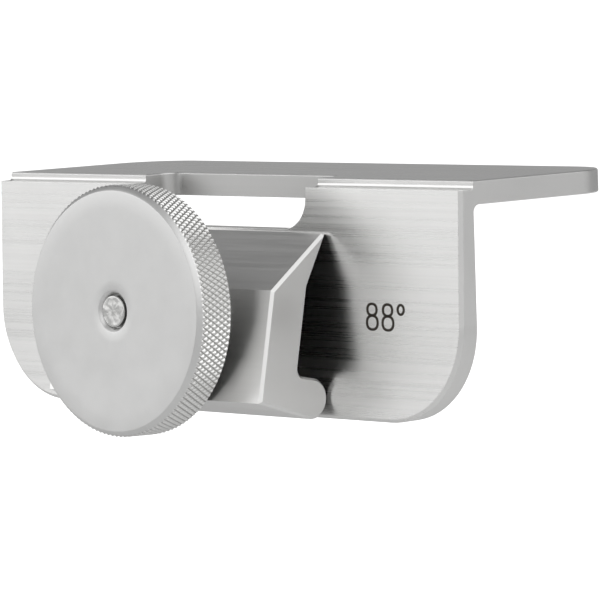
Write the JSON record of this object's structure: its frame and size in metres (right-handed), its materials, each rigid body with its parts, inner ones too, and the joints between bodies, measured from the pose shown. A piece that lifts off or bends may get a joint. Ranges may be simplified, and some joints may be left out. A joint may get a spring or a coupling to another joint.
{
  "type": "ski side edge file guide",
  "caption": "L-shaped stainless guide that holds a flat file at a fixed angle to a plate, with a strap clamp drawn in by a knurled thumb wheel.",
  "frame": {"origin": "middle of the plate's outer face, on the guide's centre plane", "axes": "+Z out of the plate's outer face, +X along the guide, -Y from the plate's back edge towards the thumb wheel"},
  "size_m": [0.0856, 0.0505, 0.0322],
  "materials": {
    "body_steel": "ground flat, with a fine brushed grain along the guide",
    "block_steel": "milled and fine ground",
    "wheel_steel": "satin turned faces, bright diamond knurl",
    "screw_steel": "turned, peened end",
    "washer_steel": "stamped and tumbled",
    "spring_steel": "drawn spring wire"
  },
  "bodies": {
    "body": {"guide_body": "body_steel", "return_spring": "spring_steel"},
    "block": {"clamp_block": "block_steel"},
    "screw_slide": {"thrust_washer": "washer_steel"},
    "wheel": {"thumb_wheel": "wheel_steel", "clamp_screw": "screw_steel"}
  },
  "joints": [
    {"name": "screw_travel", "type": "slide", "parent": "body", "child": "screw_slide", "axis": [0, -0.9994, 0.0349], "range_m": [0, 0.0014]},
    {"name": "wheel_turn", "type": "hinge", "parent": "screw_slide", "child": "wheel", "pos_m": [0, -0.01699, -0.01652], "axis": [0, -0.9994, 0.0349], "range_deg": [0, 720]},
    {"name": "block_rock", "type": "hinge", "parent": "body", "child": "block", "pos_m": [0, -0.02008, -0.0276], "axis": [1, 0, 0], "range_deg": [0, 11.6], "deforming": ["return_spring"]}
  ],
  "couplings": [
    {"joint": "screw_travel", "follows": "wheel_turn", "m_per_rad": 0.00011141},
    {"joint": "block_rock", "follows": "wheel_turn", "ratio": 0.016111}
  ]
}
